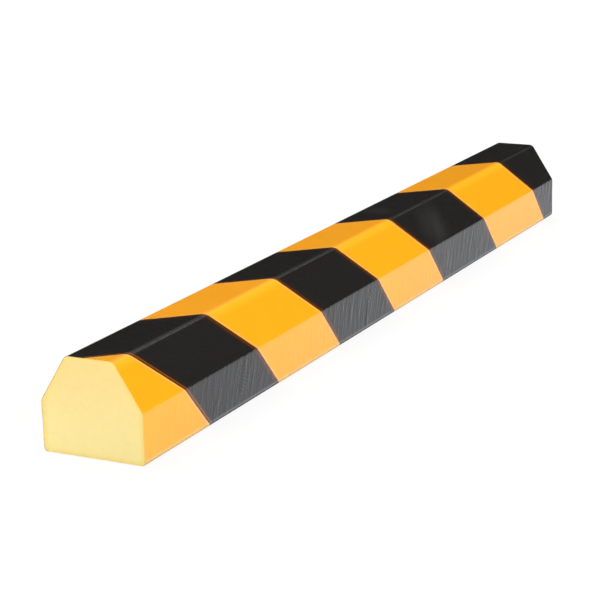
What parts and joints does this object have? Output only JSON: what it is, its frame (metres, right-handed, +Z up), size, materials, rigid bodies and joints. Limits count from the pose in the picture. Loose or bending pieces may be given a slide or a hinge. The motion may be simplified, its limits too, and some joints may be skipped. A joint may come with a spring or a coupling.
{
  "type": "foam surface protector profile",
  "caption": "Straight foam impact profile with a flat base, sloping shoulders and a yellow film with slanting black warning bands; cushions walls, beams and racks.",
  "frame": {"origin": "centre of the flat base, half way along the piece", "axes": "+Y along the piece, with the cut end that the picture shows at -Y; +Z up from the base to the flat top; X across the base"},
  "size_m": [0.06, 0.58, 0.0525],
  "materials": {
    "foam": "matte",
    "yellow_film": "satin",
    "black_print": "satin"
  },
  "bodies": {
    "root": {"foam_core": "foam", "yellow_film": "yellow_film", "black_bands": "black_print"}
  },
  "joints": []
}
